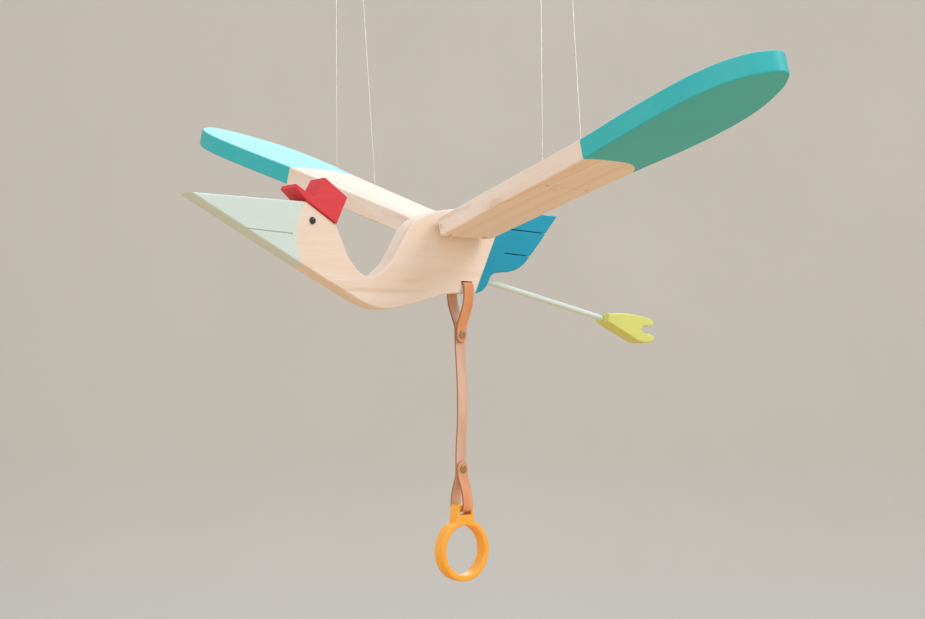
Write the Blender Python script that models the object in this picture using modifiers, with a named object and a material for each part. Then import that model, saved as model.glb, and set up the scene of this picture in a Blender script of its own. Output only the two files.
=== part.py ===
"""A pelican mobile: a painted wooden bird hung by its wings on nylon lines, with a leather pull and a ring.

The bird faces -X, its left wing points to -Y and +Z is up. The origin is the hole of the hanging eye. The
bird's own measures run from the front of its wing roots, at the height of the wing hinges. When the ring is
pulled, the trunk drops and both wings swing up about their steel pins.
"""

import math

import bmesh
import bpy
from mathutils import Matrix, Vector

MM = 0.001
FIT_GAP = 0.3 * MM  # left between pieces that touch

# The hanger
BAR_LENGTH = 306 * MM
BAR_WIDTH = 46 * MM
BAR_THICKNESS = 8 * MM
BAR_ABOVE_HINGE = 238 * MM  # from the wing hinges up to the bar's underside
EYE_BORE_RADIUS = 6 * MM
EYE_WIRE_RADIUS = 1.5 * MM
EYE_SHANK_LENGTH = 6 * MM  # of it in the bar

# The lines
LINE_RADIUS = 0.4 * MM
LINE_HOLE_RADIUS = 1.2 * MM
BAR_HOLE_SPAN = 280 * MM  # between the left and the right pair of holes
BAR_HOLES_X = (4 * MM, 34 * MM)
WING_HOLES_X = (2 * MM, 46 * MM)
WING_HOLE_REACH = 130 * MM  # from the hinge out to the line holes
BAR_HOLE_RADIUS = 1.6 * MM
KNOT_RADIUS = 2.4 * MM
KNOT_HEIGHT = 3 * MM
LOOP_ABOVE_WING = 0.5 * MM
LINE_BEND = 1.4 * MM  # under the wing, where the line leaves its hole

# The trunk board
BOARD_THICKNESS = 18 * MM
EDGE_ROUND = 1.2 * MM
KERF_WIDTH = 1.2 * MM
MOUTH_DEPTH = 1 * MM  # of the groove in each face
SLOT_CENTRE_X = 35 * MM
SLOT_TOP_Z = -45 * MM
SLOT_SPARE = 1.2 * MM  # by which the slot is higher than the strap is thick

# The wings
WING_THICKNESS = 16.5 * MM
WING_ROOT_CHORD = 55 * MM
WING_REACH = 370 * MM  # from the hinge out to the tip
WING_SIDE_GAP = 0.6 * MM  # between the rounded wing root and the board
LEFT_DIHEDRAL = math.radians(13)
RIGHT_DIHEDRAL = math.radians(20)
PIN_RADIUS = 1.5 * MM
PIN_HEAD_PROUD = 0.4 * MM
PIN_CHAMFER = 0.3 * MM
PIN_INSET = 1.5 * MM  # from the rear end of the pin to the rear edge of the root
HINGE_WIRE_RADIUS = 0.7 * MM
HINGE_EYE_DEPTH = 6 * MM  # of its shank in the board
FRONT_NOTCH = (7 * MM, 2.6 * MM)  # its middle and its width along the hinge
REAR_NOTCH = (45 * MM, 6 * MM)

# The cap, the leg and the eyes
CAP_THICKNESS = 21.6 * MM
DOWEL_RADIUS = 2.5 * MM
DOWEL_LENGTH = 14 * MM
LEG_RADIUS = 2.5 * MM
LEG_START = (63 * MM, -43 * MM)
LEG_END = (208.5 * MM, -73 * MM)
LEG_IN_BOARD = 14 * MM
LEG_IN_FOOT = 14 * MM
LEG_HOLE_OVERRUN = 12 * MM  # of its slanted holes, past the edges they enter
BIRD_EYE_RADIUS = 3 * MM
BIRD_EYE_DOME = 1.6 * MM
BIRD_EYE_RIM = 0.4 * MM
BIRD_EYE_AT = (-126 * MM, -2.4 * MM)
BIRD_EYE_STEM = (1 * MM, 6 * MM)  # its radius and its length

# The pull
STRAP_WIDTH = 10.4 * MM
STRAP_THICKNESS = 2 * MM
STRAP_SIDE_GAP = 1 * MM
STRAP_BOW = 1.2 * MM  # by which its folds stand off the faces they go round
STRAP_BEND_RADIUS = 2.7 * MM  # of its middle line, where it goes round an edge
UPPER_FOLD_LENGTH = 40 * MM
LOWER_FOLD_LENGTH = 32.5 * MM
STRAP_END_PAST_RIVET = 6.8 * MM
BEND_PAST_END = 3.5 * MM  # from a folded end to where the single strap bends
BEND_GAP = 0.6 * MM  # left at each bend, where the one real strip is cut into stiff sections
RIVET_CAP_RADIUS = 3.1 * MM
RIVET_CAP_HEIGHT = 1.1 * MM
RIVET_POST_RADIUS = 1.1 * MM
UPPER_RIVET_Z = -91 * MM
LOWER_RIVET_Z = -207 * MM
RING_CENTRE_Z = -276.5 * MM
RING_RADIUS = 26.5 * MM
RING_HOLE_RADIUS = 21.2 * MM
RING_THICKNESS = 11.5 * MM
LUG_TOP_Z = -237.2 * MM
LUG_SLOT_TOP_Z = -241.2 * MM
LUG_SLOT_SPARE = 2.8 * MM  # by which the slot is higher than the strap is thick
LUG_WALL = 1.7 * MM
LUG_FLARE = 2 * MM  # by which its foot is wider than its top, on each side
RING_EDGE_ROUND = 1 * MM

SLOT_HEIGHT = STRAP_THICKNESS + SLOT_SPARE
LUG_SLOT_HEIGHT = STRAP_THICKNESS + LUG_SLOT_SPARE
HINGE_EYE_RADIUS = PIN_RADIUS + FIT_GAP + HINGE_WIRE_RADIUS  # to the middle of its wire
HINGE_SIDE = BOARD_THICKNESS / 2 + WING_SIDE_GAP + WING_THICKNESS / 2
EYE_ABOVE_BAR = EYE_BORE_RADIUS + 2 * EYE_WIRE_RADIUS
BAR_TOP = -EYE_ABOVE_BAR - FIT_GAP
BAR_BOTTOM = BAR_TOP - BAR_THICKNESS
BIRD = Vector((-sum(BAR_HOLES_X) / 2, 0, BAR_BOTTOM - BAR_ABOVE_HINGE))
SIDES = {"left": (-1, LEFT_DIHEDRAL), "right": (1, RIGHT_DIHEDRAL)}

CORNER = "VECTOR"
SMOOTH = "AUTO"
CURVE_STEPS = 3  # straight pieces between two points of an outline


# ---------------------------------------------------------------- scene, collections and materials

for leftover in list(bpy.data.objects):
    bpy.data.objects.remove(leftover)


def new_collection(name):
    collection = bpy.data.collections.new(name)
    bpy.context.scene.collection.children.link(collection)
    return collection


PARTS = new_collection("pelican_mobile")
CUTTERS = new_collection("cutters")


def material(name, colour, roughness, metallic=0.0):
    made = bpy.data.materials.new(name)
    made.use_nodes = True
    shader = made.node_tree.nodes["Principled BSDF"]
    shader.inputs["Base Color"].default_value = (*colour, 1)
    shader.inputs["Roughness"].default_value = roughness
    shader.inputs["Metallic"].default_value = metallic
    return made


PALE_WOOD = material("pale_wood", (0.80, 0.66, 0.50), 0.6)
TEAL_PAINT = material("teal_paint", (0.06, 0.45, 0.50), 0.5)
RED_PAINT = material("red_paint", (0.70, 0.06, 0.08), 0.55)
MINT_PAINT = material("mint_paint", (0.62, 0.70, 0.66), 0.5)
LIME_PAINT = material("lime_paint", (0.60, 0.66, 0.20), 0.5)
ORANGE_PAINT = material("orange_paint", (0.95, 0.40, 0.04), 0.5)
LEATHER = material("leather", (0.60, 0.30, 0.16), 0.6)
STEEL = material("steel", (0.60, 0.60, 0.60), 0.3, 1.0)
BRASS = material("antique_brass", (0.45, 0.35, 0.18), 0.4, 1.0)
BLACK_GLOSS = material("black_gloss", (0.01, 0.01, 0.012), 0.1)
NYLON = material("nylon", (0.80, 0.82, 0.82), 0.3)


# ---------------------------------------------------------------- shape helpers

def add_object(name, data, paint=None, collection=PARTS):
    made = bpy.data.objects.new(name, data)
    collection.objects.link(made)
    if paint:
        data.materials.clear()
        data.materials.append(paint)
    return made


def as_mesh(source, name, paint=None, collection=PARTS):
    """Turns a curve object into a welded mesh object at the same place."""
    bpy.context.view_layer.update()
    mesh = bpy.data.meshes.new_from_object(source.evaluated_get(bpy.context.evaluated_depsgraph_get()))
    place = source.matrix_world.copy()
    bpy.data.objects.remove(source)
    work = bmesh.new()
    work.from_mesh(mesh)
    bmesh.ops.remove_doubles(work, verts=work.verts, dist=0.01 * MM)
    work.to_mesh(mesh)
    work.free()
    made = add_object(name, mesh, paint, collection)
    made.matrix_world = place
    return made


def outline_plate(name, points, thickness, paint, mirror_y=1):
    """A flat plate in its own XY plane, from (x, y, handle) points, centred on the plane."""
    curve = bpy.data.curves.new(name + "_outline", "CURVE")
    curve.dimensions = "2D"
    curve.fill_mode = "BOTH"
    curve.extrude = thickness / 2
    curve.resolution_u = CURVE_STEPS
    spline = curve.splines.new("BEZIER")
    spline.bezier_points.add(len(points) - 1)
    spline.use_cyclic_u = True
    for knot, (x, y, handle) in zip(spline.bezier_points, points):
        knot.co = (x * MM, y * MM * mirror_y, 0)
        knot.handle_left_type = handle
        knot.handle_right_type = handle
    return as_mesh(add_object(name + "_outline", curve), name, paint)


def round_edges(piece, width=EDGE_ROUND, segments=2):
    bevel = piece.modifiers.new("rounded edges", "BEVEL")
    bevel.width = width
    bevel.segments = segments
    bevel.limit_method = "ANGLE"
    bevel.angle_limit = math.radians(40)
    return piece


def stand_up(piece):
    """Turns a plate from its own XY plane into the bird's XZ plane."""
    piece.rotation_euler = (math.radians(90), 0, 0)
    piece.location = BIRD
    return piece


def cylinder_mesh(name, radius, length, sides=24):
    mesh = bpy.data.meshes.new(name)
    work = bmesh.new()
    bmesh.ops.create_cone(
        work, cap_ends=True, segments=sides, radius1=radius, radius2=radius, depth=length
    )
    work.to_mesh(mesh)
    work.free()
    return mesh


def rod(name, start, end, radius, paint=None, collection=PARTS, sides=24):
    """A cylinder between two points."""
    start, end = Vector(start), Vector(end)
    made = add_object(name, cylinder_mesh(name, radius, (end - start).length, sides), paint, collection)
    turn = (end - start).to_track_quat("Z", "Y").to_matrix().to_4x4()
    made.matrix_world = Matrix.Translation((start + end) / 2) @ turn
    return made


def box(name, low, high, turn=None, collection=PARTS):
    """A box between two corners, which a turn matrix may move after that."""
    low, high = Vector(low), Vector(high)
    mesh = bpy.data.meshes.new(name)
    work = bmesh.new()
    bmesh.ops.create_cube(work, size=1)
    bmesh.ops.scale(work, vec=high - low, verts=work.verts)
    bmesh.ops.translate(work, vec=(low + high) / 2, verts=work.verts)
    work.to_mesh(mesh)
    work.free()
    made = add_object(name, mesh, None, collection)
    if turn:
        made.matrix_world = turn
    return made


def cut(piece, cutter, operation="DIFFERENCE"):
    """Cuts a piece with another mesh object, or joins that to it."""
    cutter.hide_render = True
    cutter.display_type = "WIRE"
    boolean = piece.modifiers.new(cutter.name, "BOOLEAN")
    boolean.operation = operation
    boolean.object = cutter
    return piece


def turned(name, profile, paint, sides):
    """A turned solid about its own Z, from (radius, height) points that run down its outer side."""
    mesh = bpy.data.meshes.new(name)
    mesh.from_pydata([(radius, 0, height) for radius, height in profile],
                     [(i, i + 1) for i in range(len(profile) - 1)], [])
    made = add_object(name, mesh, paint)
    screw = made.modifiers.new("turned", "SCREW")
    screw.steps = sides
    screw.render_steps = sides
    screw.use_merge_vertices = True
    screw.merge_threshold = 0.00001
    return made


def dome_profile(radius, height, steps=3):
    """The outer side of a low dome, from its crown to its rim."""
    angles = [math.pi / 2 * i / steps for i in range(steps + 1)]
    return [(radius * math.sin(a), height * math.cos(a)) for a in angles]


def in_bird(x, y, z):
    """A point given in the bird's own measures, in the frame of the whole mobile."""
    return BIRD + Vector((x, y, z))


# ---------------------------------------------------------------- the trunk

CAP_SEAT = ((-131.5, 12.6), (-102.5, -4.4))  # the slanted top of the head
TRUNK_OUTLINE = [
    (-237, 12.6, CORNER), (*CAP_SEAT[0], CORNER), (*CAP_SEAT[1], CORNER),
    (-96.5, -17, SMOOTH), (-88, -33, SMOOTH), (-69.5, -45, SMOOTH), (-50, -35.5, SMOOTH),
    (-38, -19.5, SMOOTH), (-24, 1, SMOOTH), (-8, 10.3, SMOOTH), (20, 16.5, SMOOTH), (60, 18.6, SMOOTH),
    (100, 18.8, SMOOTH), (143.5, 18.3, CORNER), (110, -19.5, SMOOTH), (100.5, -28.5, SMOOTH),
    (86, -34.6, SMOOTH), (72, -35.6, SMOOTH), (64, -39, SMOOTH), (57.5, -49, SMOOTH), (50, -54, SMOOTH),
    (30, -55.4, SMOOTH), (10.9, -57.1, SMOOTH), (-8.4, -62, SMOOTH), (-29.6, -67.7, SMOOTH),
    (-54, -71.2, SMOOTH), (-70, -68.3, SMOOTH), (-91, -59.3, SMOOTH), (-133, -39.3, SMOOTH),
]
MOUTH_GROOVE = ((-200, -11.6), (-146, -13.8))
TAIL_KERFS = (((79, 3.2), (150, 0.8)), ((78.5, -18.6), (128, -20.6)))


def kerf_cutter(name, start, end, low_y=-BOARD_THICKNESS, high_y=BOARD_THICKNESS):
    """A saw blade's path along the board, right through it unless its reach across is given."""
    start = Vector((start[0], 0, start[1])) * MM
    end = Vector((end[0], 0, end[1])) * MM
    along = end - start
    turn = Matrix.Rotation(-math.atan2(along.z, along.x), 4, "Y")
    return box(name, (0, low_y, -KERF_WIDTH / 2), (along.length, high_y, KERF_WIDTH / 2),
               Matrix.Translation(BIRD + start) @ turn, CUTTERS)


def leg_line(distance):
    """A point on the leg's middle line, so far from where it leaves the board."""
    start, end = Vector((LEG_START[0], 0, LEG_START[1])), Vector((LEG_END[0], 0, LEG_END[1]))
    return BIRD + start + (end - start).normalized() * distance


LEG_FREE = (Vector(LEG_END) - Vector(LEG_START)).length
CAP_SEAT_START, CAP_SEAT_END = (Vector((x, 0, z)) * MM for x, z in CAP_SEAT)
CAP_SEAT_NORMAL = (CAP_SEAT_END - CAP_SEAT_START).cross(Vector((0, 1, 0))).normalized()
DOWEL_MIDDLE = BIRD + (CAP_SEAT_START + CAP_SEAT_END) / 2


def make_trunk():
    trunk = stand_up(round_edges(outline_plate("trunk", TRUNK_OUTLINE, BOARD_THICKNESS, PALE_WOOD)))
    for side in (-1, 1):
        low_y, high_y = sorted((side * (BOARD_THICKNESS / 2 - MOUTH_DEPTH), side * BOARD_THICKNESS))
        cut(trunk, kerf_cutter(f"mouth_groove_{side}", *MOUTH_GROOVE, low_y, high_y))
        end_x, end_z = MOUTH_GROOVE[1]
        cut(trunk, rod(f"mouth_end_{side}", in_bird(end_x * MM, low_y, end_z * MM),
                       in_bird(end_x * MM, high_y, end_z * MM), KERF_WIDTH, None, CUTTERS, 12))
    for number, (start, end) in enumerate(TAIL_KERFS):
        cut(trunk, kerf_cutter(f"tail_kerf_{number}", start, end))
    half_slot = STRAP_WIDTH / 2 + STRAP_SIDE_GAP
    slot_low = in_bird(SLOT_CENTRE_X - half_slot, -BOARD_THICKNESS, SLOT_TOP_Z - SLOT_HEIGHT)
    slot_high = in_bird(SLOT_CENTRE_X + half_slot, BOARD_THICKNESS, SLOT_TOP_Z)
    cut(trunk, box("strap_slot", slot_low, slot_high, None, CUTTERS))
    cut(trunk, rod("leg_hole", leg_line(-LEG_IN_BOARD - FIT_GAP), leg_line(LEG_HOLE_OVERRUN),
                   LEG_RADIUS + FIT_GAP, None, CUTTERS))
    hole = CAP_SEAT_NORMAL * (DOWEL_LENGTH / 2 + FIT_GAP)
    cut(trunk, rod("dowel_hole_below", DOWEL_MIDDLE - hole, DOWEL_MIDDLE + hole,
                   DOWEL_RADIUS + FIT_GAP, None, CUTTERS, 16))
    for side in (-1, 1):
        face = in_bird(BIRD_EYE_AT[0], side * BOARD_THICKNESS / 2, BIRD_EYE_AT[1])
        stem_radius, stem_length = BIRD_EYE_STEM
        inwards = Vector((0, -side * (stem_length + FIT_GAP), 0))
        cut(trunk, rod(f"bird_eye_hole_{side}", face - inwards, face + inwards,
                       stem_radius + FIT_GAP, None, CUTTERS, 12))
        for middle, _ in (FRONT_NOTCH, REAR_NOTCH):
            face = in_bird(middle, side * BOARD_THICKNESS / 2, 0)
            inwards = Vector((0, -side * (HINGE_EYE_DEPTH + FIT_GAP), 0))
            cut(trunk, rod(f"hinge_eye_hole_{side}_{middle:.3f}", face - inwards, face + inwards,
                           HINGE_WIRE_RADIUS + FIT_GAP, None, CUTTERS, 8))


def make_bird_eye(name, side):
    stem_radius, stem_length = BIRD_EYE_STEM
    profile = dome_profile(BIRD_EYE_RADIUS, BIRD_EYE_DOME)
    profile += [(BIRD_EYE_RADIUS, -BIRD_EYE_RIM), (stem_radius, -BIRD_EYE_RIM)]
    profile += [(stem_radius, -stem_length), (0, -stem_length)]
    eye = turned(name, profile, BLACK_GLOSS, 16)
    out = BOARD_THICKNESS / 2 + BIRD_EYE_RIM + FIT_GAP
    eye.location = in_bird(BIRD_EYE_AT[0], side * out, BIRD_EYE_AT[1])
    eye.rotation_euler = (-side * math.radians(90), 0, 0)


# ---------------------------------------------------------------- the cap, the leg and the foot

CAP_OUTLINE = [
    (-103.4, -3.9, CORNER), (-132.4, 13.1, CORNER), (-143.9, 22.7, CORNER), (-142.6, 25.6, CORNER),
    (-128.6, 17.6, CORNER), (-124.9, 16.4, SMOOTH), (-123, 18.6, CORNER), (-114.6, 32.8, CORNER),
    (-92.7, 18.3, CORNER),
]
FOOT_OUTLINE = [
    (207.6, -68.8, CORNER), (220, -68.2, SMOOTH), (238, -68.6, SMOOTH), (256, -71, SMOOTH),
    (267, -74.3, SMOOTH), (268.6, -77.6, SMOOTH), (264, -79.4, SMOOTH), (254.5, -79.6, CORNER),
    (251.5, -83, CORNER), (256, -86.2, SMOOTH), (266, -88, SMOOTH), (269.7, -91, SMOOTH),
    (265, -94.4, SMOOTH), (253.6, -95.2, SMOOTH), (236.3, -88.8, SMOOTH), (219.4, -81.7, SMOOTH),
    (207.6, -76.6, CORNER),
]


def make_cap():
    cap = stand_up(round_edges(outline_plate("cap", CAP_OUTLINE, CAP_THICKNESS, RED_PAINT), 1 * MM))
    cap.location = BIRD + CAP_SEAT_NORMAL * FIT_GAP
    reach = CAP_SEAT_NORMAL * (DOWEL_LENGTH / 2 + FIT_GAP)
    cut(cap, rod("dowel_hole_above", DOWEL_MIDDLE - reach, DOWEL_MIDDLE + reach,
                 DOWEL_RADIUS + FIT_GAP, None, CUTTERS, 16))
    half = CAP_SEAT_NORMAL * DOWEL_LENGTH / 2
    rod("cap_dowel", DOWEL_MIDDLE - half, DOWEL_MIDDLE + half, DOWEL_RADIUS, PALE_WOOD, PARTS, 16)


def make_leg():
    leg = rod("leg_rod", leg_line(-LEG_IN_BOARD), leg_line(LEG_FREE + LEG_IN_FOOT), LEG_RADIUS, MINT_PAINT)
    round_edges(leg, PIN_CHAMFER, 1)
    foot = stand_up(round_edges(outline_plate("foot", FOOT_OUTLINE, BOARD_THICKNESS, LIME_PAINT)))
    cut(foot, rod("foot_hole", leg_line(LEG_FREE - LEG_HOLE_OVERRUN),
                  leg_line(LEG_FREE + LEG_IN_FOOT + FIT_GAP), LEG_RADIUS + FIT_GAP, None, CUTTERS))


# ---------------------------------------------------------------- the wings

WING_OUTER_OUTLINE = [  # across the wing in x, and out along it in y, from root to tip and back
    (-7, 94, SMOOTH), (-13, 188, SMOOTH), (-19.5, 236, SMOOTH), (-25, 290, SMOOTH), (-25, 322, SMOOTH),
    (-18, 350, SMOOTH), (-7, 364, SMOOTH), (8, 370, SMOOTH), (23, 359, SMOOTH), (38, 336, SMOOTH),
    (50, 308, SMOOTH), (57, 273, SMOOTH), (59, 230, SMOOTH), (56, 180, SMOOTH),
]


def wing_place(side, dihedral):
    """The wing's own frame: X along the hinge, Y out along the wing for a right wing, Z through it."""
    return Matrix.Translation(in_bird(0, side * HINGE_SIDE, 0)) @ Matrix.Rotation(side * dihedral, 4, "X")


def round_root(wing):
    """Turns the wing's inner edge into a half round about the hinge pin."""
    work = bmesh.new()
    work.from_mesh(wing.data)
    inner = [edge for edge in work.edges
             if all(abs(abs(v.co.y) - WING_THICKNESS / 2) < FIT_GAP for v in edge.verts)
             and all(abs(abs(v.co.z) - WING_THICKNESS / 2) < FIT_GAP for v in edge.verts)
             and abs(edge.verts[0].co.x - edge.verts[1].co.x) > WING_ROOT_CHORD / 2]
    bmesh.ops.bevel(work, geom=inner, offset=WING_THICKNESS / 2 * 0.99, offset_type="OFFSET", segments=6,
                    profile=0.5, affect="EDGES")
    work.to_mesh(wing.data)
    work.free()


def make_wing(side_name):
    side, dihedral = SIDES[side_name]
    place = wing_place(side, dihedral)
    inner = -WING_THICKNESS / 2 / MM
    stretch = WING_REACH / MM / max(point[1] for point in WING_OUTER_OUTLINE)
    outline = [(0, inner, CORNER)]
    outline += [(x, y * stretch, handle) for x, y, handle in WING_OUTER_OUTLINE]
    outline += [(WING_ROOT_CHORD / MM, inner, CORNER)]
    wing = outline_plate(f"{side_name}_wing", outline, WING_THICKNESS, TEAL_PAINT, side)
    round_root(wing)
    round_edges(wing)
    wing.matrix_world = place
    for number, x in enumerate(WING_HOLES_X):
        middle = Vector((x, side * WING_HOLE_REACH, 0))
        through = Vector((0, 0, WING_THICKNESS))
        cut(wing, rod(f"{side_name}_line_hole_{number}", place @ (middle - through),
                      place @ (middle + through), LINE_HOLE_RADIUS, None, CUTTERS, 12))
    cut(wing, rod(f"{side_name}_pin_bore", place @ Vector((-WING_ROOT_CHORD, 0, 0)),
                  place @ Vector((WING_ROOT_CHORD - PIN_INSET + FIT_GAP, 0, 0)),
                  PIN_RADIUS + FIT_GAP, None, CUTTERS, 16))
    notch_depth = HINGE_EYE_RADIUS + HINGE_WIRE_RADIUS + 2 * FIT_GAP
    for label, (middle, width) in (("front", FRONT_NOTCH), ("rear", REAR_NOTCH)):
        reach = sorted((-side * WING_THICKNESS, side * notch_depth))
        cut(wing, box(f"{side_name}_{label}_notch", (middle - width / 2, reach[0], -WING_THICKNESS),
                      (middle + width / 2, reach[1], WING_THICKNESS), place, CUTTERS))
    pin = rod(f"{side_name}_hinge_pin", place @ Vector((-PIN_HEAD_PROUD, 0, 0)),
              place @ Vector((WING_ROOT_CHORD - PIN_INSET, 0, 0)), PIN_RADIUS, STEEL, PARTS, 16)
    round_edges(pin, PIN_CHAMFER, 1)


# ---------------------------------------------------------------- the hinge eyes and the hanger

def screw_eye(name, centre, eye_radius, wire_radius, shank_end, axis, segments, sides):
    """A wire ring about an axis, with a straight shank from its rim to a point."""
    bpy.ops.mesh.primitive_torus_add(
        major_radius=eye_radius, minor_radius=wire_radius, major_segments=segments, minor_segments=sides
    )
    eye = bpy.context.object
    for collection in list(eye.users_collection):
        collection.objects.unlink(eye)
    PARTS.objects.link(eye)
    eye.name = name
    eye.data.materials.append(STEEL)
    eye.matrix_world = Matrix.Translation(centre) @ Vector(axis).to_track_quat("Z", "Y").to_matrix().to_4x4()
    shank_start = centre + (shank_end - centre).normalized() * eye_radius
    cut(eye, rod(name + "_shank", shank_start, shank_end, wire_radius, None, CUTTERS, sides), "UNION")


def make_hinge_eyes():
    for side_name, (side, _) in SIDES.items():
        for label, (middle, _) in (("front", FRONT_NOTCH), ("rear", REAR_NOTCH)):
            shank_end = in_bird(middle, side * (BOARD_THICKNESS / 2 - HINGE_EYE_DEPTH), 0)
            screw_eye(f"{side_name}_{label}_hinge_eye", in_bird(middle, side * HINGE_SIDE, 0),
                      HINGE_EYE_RADIUS, HINGE_WIRE_RADIUS, shank_end, (1, 0, 0), 14, 6)


def arc(centre, radius, start, end, steps):
    """Outline points along an arc in the plate's plane, in degrees from +X towards +Y."""
    angles = [math.radians(start + (end - start) * i / steps) for i in range(steps + 1)]
    return [(centre[0] + radius * math.cos(a), centre[1] + radius * math.sin(a), SMOOTH) for a in angles]


def make_hanger():
    end_radius = BAR_WIDTH / 2 / MM
    end_centre = (BAR_LENGTH / 2 - BAR_WIDTH / 2) / MM
    outline = arc((0, end_centre), end_radius, 0, 180, 5) + arc((0, -end_centre), end_radius, 180, 360, 5)
    bar = outline_plate("hanger_bar", outline, BAR_THICKNESS, PALE_WOOD)
    round_edges(bar)
    bar.location = (0, 0, BAR_TOP - BAR_THICKNESS / 2)
    through = Vector((0, 0, BAR_THICKNESS))
    for side in (-1, 1):
        for x in BAR_HOLES_X:
            hole = Vector((BIRD.x + x, side * BAR_HOLE_SPAN / 2, BAR_TOP - BAR_THICKNESS / 2))
            cut(bar, rod(f"bar_hole_{side}_{x:.3f}", hole - through, hole + through,
                         BAR_HOLE_RADIUS, None, CUTTERS, 12))
    shank_end = Vector((0, 0, BAR_TOP - EYE_SHANK_LENGTH))
    cut(bar, rod("hanger_eye_hole", shank_end - Vector((0, 0, FIT_GAP)), Vector((0, 0, 0)),
                 EYE_WIRE_RADIUS + FIT_GAP, None, CUTTERS, 12))
    screw_eye("hanger_eye", Vector((0, 0, 0)), EYE_BORE_RADIUS + EYE_WIRE_RADIUS, EYE_WIRE_RADIUS,
              shank_end, (0, 1, 0), 24, 8)


# ---------------------------------------------------------------- the lines

def line_tube(name, points):
    """A round line through the points."""
    curve = bpy.data.curves.new(name, "CURVE")
    curve.dimensions = "3D"
    curve.bevel_depth = LINE_RADIUS
    curve.bevel_resolution = 2
    curve.use_fill_caps = True
    spline = curve.splines.new("POLY")
    spline.points.add(len(points) - 1)
    for knot, point in zip(spline.points, points):
        knot.co = (*point, 1)
    return add_object(name, curve, NYLON)


def make_lines(side_name):
    side, dihedral = SIDES[side_name]
    place = wing_place(side, dihedral)
    top = WING_THICKNESS / 2 + LOOP_ABOVE_WING
    under = -WING_THICKNESS / 2 - LINE_RADIUS - FIT_GAP
    for label, wing_x, bar_x in zip(("front", "rear"), WING_HOLES_X, BAR_HOLES_X):
        hook = Vector((BIRD.x + bar_x, side * BAR_HOLE_SPAN / 2, BAR_TOP))
        line_tube(f"{side_name}_{label}_line",
                  [hook, place @ Vector((wing_x, side * WING_HOLE_REACH, top + FIT_GAP))])
        profile = [(0, KNOT_HEIGHT), (0.6 * KNOT_RADIUS, KNOT_HEIGHT), (KNOT_RADIUS, 0.7 * KNOT_HEIGHT),
                   (KNOT_RADIUS, 0.3 * KNOT_HEIGHT), (0.7 * KNOT_RADIUS, 0), (0, 0)]
        knot = turned(f"{side_name}_{label}_knot", profile, NYLON, 10)
        knot.location = hook + Vector((0, 0, FIT_GAP))
    front, rear = WING_HOLES_X
    bend = [(0, under + LINE_BEND), (LINE_BEND / 4, under + LINE_BEND / 4), (LINE_BEND, under)]
    route = [(front, top)] + [(front + x, z) for x, z in bend]
    route += [(rear - x, z) for x, z in reversed(bend)] + [(rear, top)]
    line_tube(f"{side_name}_wing_line", [place @ Vector((x, side * WING_HOLE_REACH, z)) for x, z in route])


# ---------------------------------------------------------------- the pull

LAYER = (STRAP_THICKNESS + FIT_GAP) / 2  # from the middle of the strap's two layers to either one
FOLD_SHAPE = [  # how far along a fold, and how much of its bow is left there
    (0.25, 1), (0.45, 0.86), (0.68, 0.47), (0.83, 0.18), (0.92, 0.05),
]


def strap_fold(half_width, seat, meet):
    """One side of a fold, from the edge it goes round to where the layers meet, as (y, z, handle) points."""
    bow = half_width + STRAP_THICKNESS / 2 + STRAP_BOW
    points = [(bow - STRAP_BEND_RADIUS, seat, CORNER)]  # the strap lies flat between the two edges
    for angle in (math.pi / 6, math.pi / 3, math.pi / 2):
        back = STRAP_BEND_RADIUS * (1 - math.cos(angle))
        side = bow - STRAP_BEND_RADIUS * (1 - math.sin(angle))
        points.append((side, seat + math.copysign(back, meet - seat), SMOOTH))
    for way, left in FOLD_SHAPE:
        points.append((LAYER + (bow - LAYER) * left, seat + (meet - seat) * way, SMOOTH))
    return points + [(LAYER, meet, CORNER)]


UPPER_BEND_Z = UPPER_RIVET_Z - STRAP_END_PAST_RIVET - BEND_PAST_END
LOWER_BEND_Z = LOWER_RIVET_Z + STRAP_END_PAST_RIVET + BEND_PAST_END


def loop_route(half_width, seat, meet, end, bend):
    """A strap loop's middle line, from its folded end, round an edge, and on to where the strap bends."""
    fold = strap_fold(half_width, seat, meet)
    route = [(-LAYER, end, CORNER)] + [(-y, z, handle) for y, z, handle in reversed(fold)] + fold
    return route + [(LAYER, bend, CORNER)]


def leather_strip(name, route):
    """A strip of leather along a route of (y, z, handle) points, its width along X."""
    curve = bpy.data.curves.new(name + "_route", "CURVE")
    curve.dimensions = "2D"
    curve.extrude = STRAP_WIDTH / 2
    curve.resolution_u = 2
    spline = curve.splines.new("BEZIER")
    spline.bezier_points.add(len(route) - 1)
    for knot, (y, z, handle) in zip(spline.bezier_points, route):
        knot.co = (y, z, 0)
        knot.handle_left_type = handle
        knot.handle_right_type = handle
    strip = as_mesh(add_object(name + "_route", curve), name, LEATHER)
    across_x = Matrix(((0, 0, 1), (1, 0, 0), (0, 1, 0))).to_4x4()
    strip.matrix_world = Matrix.Translation(in_bird(SLOT_CENTRE_X, 0, 0)) @ across_x
    solidify = strip.modifiers.new("leather", "SOLIDIFY")
    solidify.thickness = STRAP_THICKNESS
    solidify.offset = 0
    solidify.use_even_offset = True
    return strip


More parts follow.
